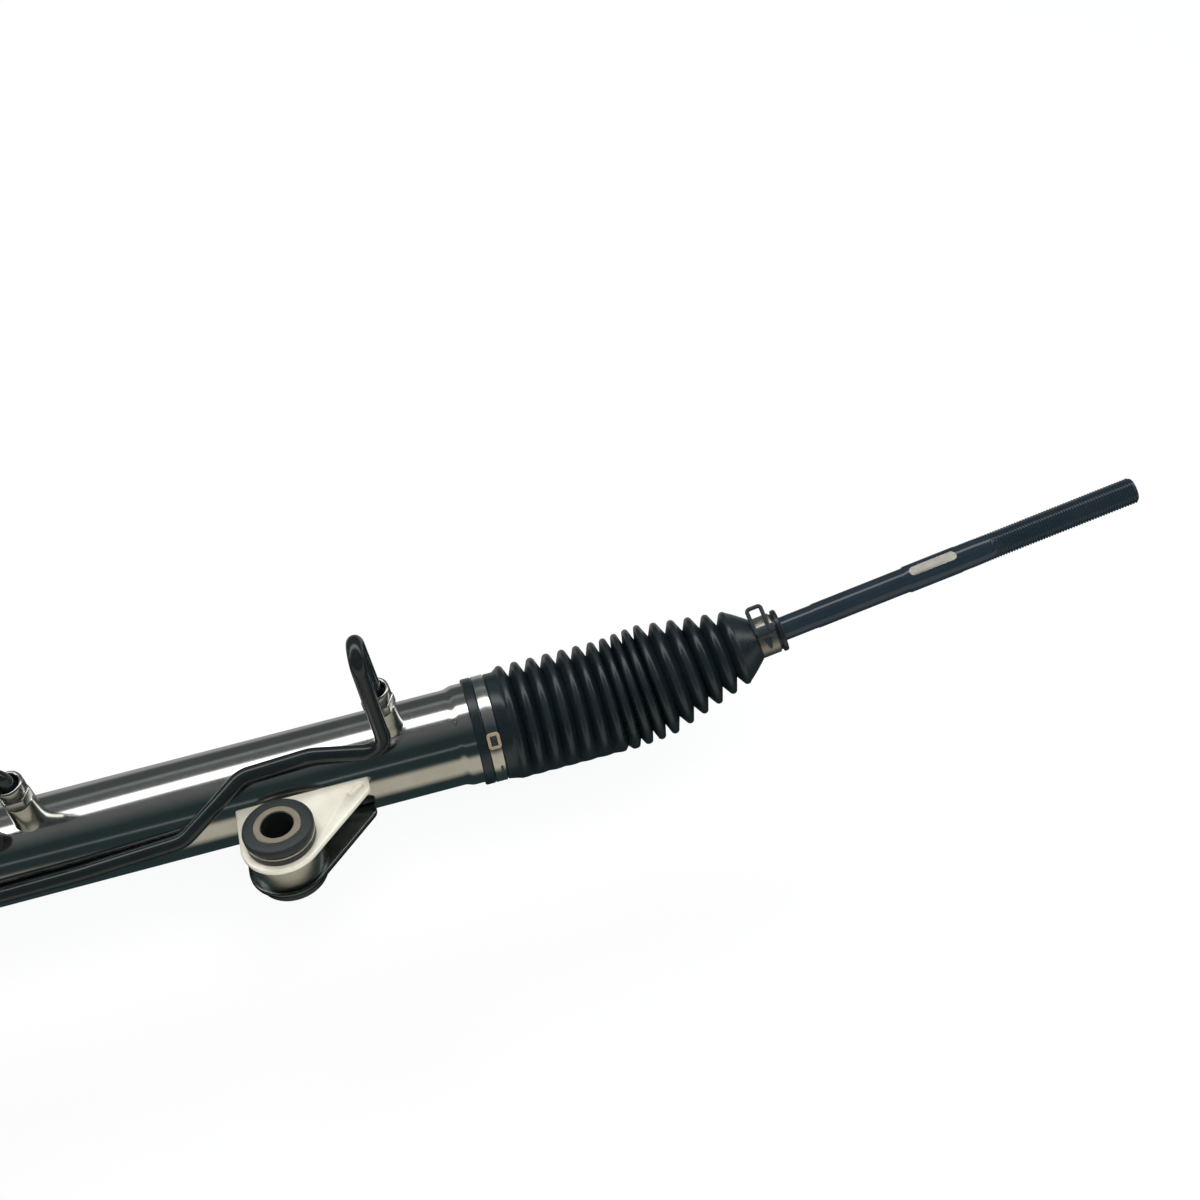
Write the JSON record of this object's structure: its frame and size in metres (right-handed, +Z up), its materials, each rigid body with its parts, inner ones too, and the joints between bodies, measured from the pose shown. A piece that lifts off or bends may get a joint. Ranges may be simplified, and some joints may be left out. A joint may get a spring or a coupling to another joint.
{
  "type": "steering rack",
  "caption": "Hydraulic rack and pinion steering gear with bellows boots, tie rods and bush mounts.",
  "frame": {"origin": "centre of the right mounting bush", "axes": "+Z up along the mounting bolt, +X along the rack towards the right tie rod, +Y from the bushes towards the rack"},
  "size_m": [1.17, 0.119, 0.1789],
  "materials": {
    "polished_steel": "polished drawn tube",
    "port_steel": "turned, bright",
    "plated_steel": "bright plate, pressed",
    "line_black": "satin black coating",
    "boot_rubber": "moulded, satin",
    "bush_rubber": "moulded, matt",
    "sleeve_steel": "plain, matt",
    "cast_aluminium": "cast, matt",
    "turned_aluminium": "turned",
    "ground_steel": "ground",
    "black_steel": "glossy blue-black coating",
    "dark_steel": "phosphated",
    "clamp_steel": "bright strip",
    "spring_steel": "plain strip",
    "seal_rubber": "moulded",
    "liner_plastic": "moulded",
    "ring_plastic": "filled plastic",
    "cap_plastic": "moulded"
  },
  "bodies": {
    "housing": {"cylinder_tube": "polished_steel", "outer_port_boss": "port_steel", "inner_port_boss": "port_steel", "outer_port_nut": "port_steel", "inner_port_nut": "port_steel", "valve_port_nuts": "port_steel", "long_transfer_line": "line_black", "short_transfer_line": "line_black", "buffer_pad": "seal_rubber", "bracket_top_plate": "plated_steel", "bracket_bottom_plate": "plated_steel", "right_bush_shell": "plated_steel", "left_bush_shell": "plated_steel", "right_bush_rubber": "bush_rubber", "left_bush_rubber": "bush_rubber", "right_bush_sleeve": "sleeve_steel", "left_bush_sleeve": "sleeve_steel", "end_bulkhead": "turned_aluminium", "bulkhead_seal": "seal_rubber", "bulkhead_ring": "spring_steel", "inner_rack_seal": "seal_rubber", "inner_seal_support": "turned_aluminium", "right_boot": "boot_rubber", "left_boot": "boot_rubber", "right_boot_clamp": "clamp_steel", "left_boot_clamp": "clamp_steel", "pinion_housing": "cast_aluminium", "lower_bearing": "ground_steel", "upper_bearing": "ground_steel", "input_bearing": "ground_steel", "input_seal": "seal_rubber", "retaining_ring": "spring_steel", "dust_cap": "cap_plastic", "bottom_cap": "turned_aluminium", "yoke": "turned_aluminium", "yoke_spring": "spring_steel", "yoke_plug": "turned_aluminium", "yoke_lock_nut": "dark_steel"},
    "rack": {"rack_bar": "ground_steel", "piston": "turned_aluminium", "piston_ring": "ring_plastic", "right_ball_housing": "dark_steel", "left_ball_housing": "dark_steel"},
    "pinion": {"pinion": "ground_steel", "pinion_nut": "dark_steel", "valve_sleeve": "ground_steel", "valve_rings": "ring_plastic"},
    "input_shaft": {"input_shaft": "ground_steel", "torsion_bar": "spring_steel", "torsion_pin": "dark_steel"},
    "right_seat": {"right_ball_seat": "liner_plastic"},
    "left_seat": {"left_ball_seat": "liner_plastic"},
    "right_tie_rod": {"right_tie_rod": "black_steel", "right_boot_clip": "spring_steel"},
    "left_tie_rod": {"left_tie_rod": "black_steel", "left_boot_clip": "spring_steel"}
  },
  "joints": [
    {"name": "rack_slide", "type": "slide", "parent": "housing", "child": "rack", "axis": [1, 0, 0], "range_m": [-0.067, 0.067], "deforming": ["right_boot", "left_boot"]},
    {"name": "pinion_spin", "type": "hinge", "parent": "housing", "child": "pinion", "pos_m": [-0.298, 0.03132, -0.003], "axis": [-0.2588, 0, 0.9659], "range_deg": [-481, 481]},
    {"name": "valve_twist", "type": "hinge", "parent": "pinion", "child": "input_shaft", "pos_m": [-0.31353, 0.03132, 0.05496], "axis": [-0.2588, 0, 0.9659], "range_deg": [-4, 4], "stiffness_Nm_per_rad": 52, "deforming": ["torsion_bar"]},
    {"name": "right_rod_tilt", "type": "hinge", "parent": "rack", "child": "right_seat", "pos_m": [0.18, 0.048, -0.003], "axis": [0, 1, 0], "range_deg": [-9.9, 30.1], "deforming": ["right_boot"]},
    {"name": "right_rod_swing", "type": "hinge", "parent": "right_seat", "child": "right_tie_rod", "pos_m": [0.18, 0.048, -0.003], "axis": [-0.1754, 0, 0.9845], "range_deg": [-12, 12], "deforming": ["right_boot"]},
    {"name": "left_rod_tilt", "type": "hinge", "parent": "rack", "child": "left_seat", "pos_m": [-0.421, 0.048, -0.003], "axis": [0, 1, 0], "range_deg": [-30.1, 9.9], "deforming": ["left_boot"]},
    {"name": "left_rod_swing", "type": "hinge", "parent": "left_seat", "child": "left_tie_rod", "pos_m": [-0.421, 0.048, -0.003], "axis": [0.1754, 0, 0.9845], "range_deg": [-12, 12], "deforming": ["left_boot"]}
  ],
  "couplings": [
    {"joint": "pinion_spin", "follows": "rack_slide", "rad_per_m": -125}
  ]
}
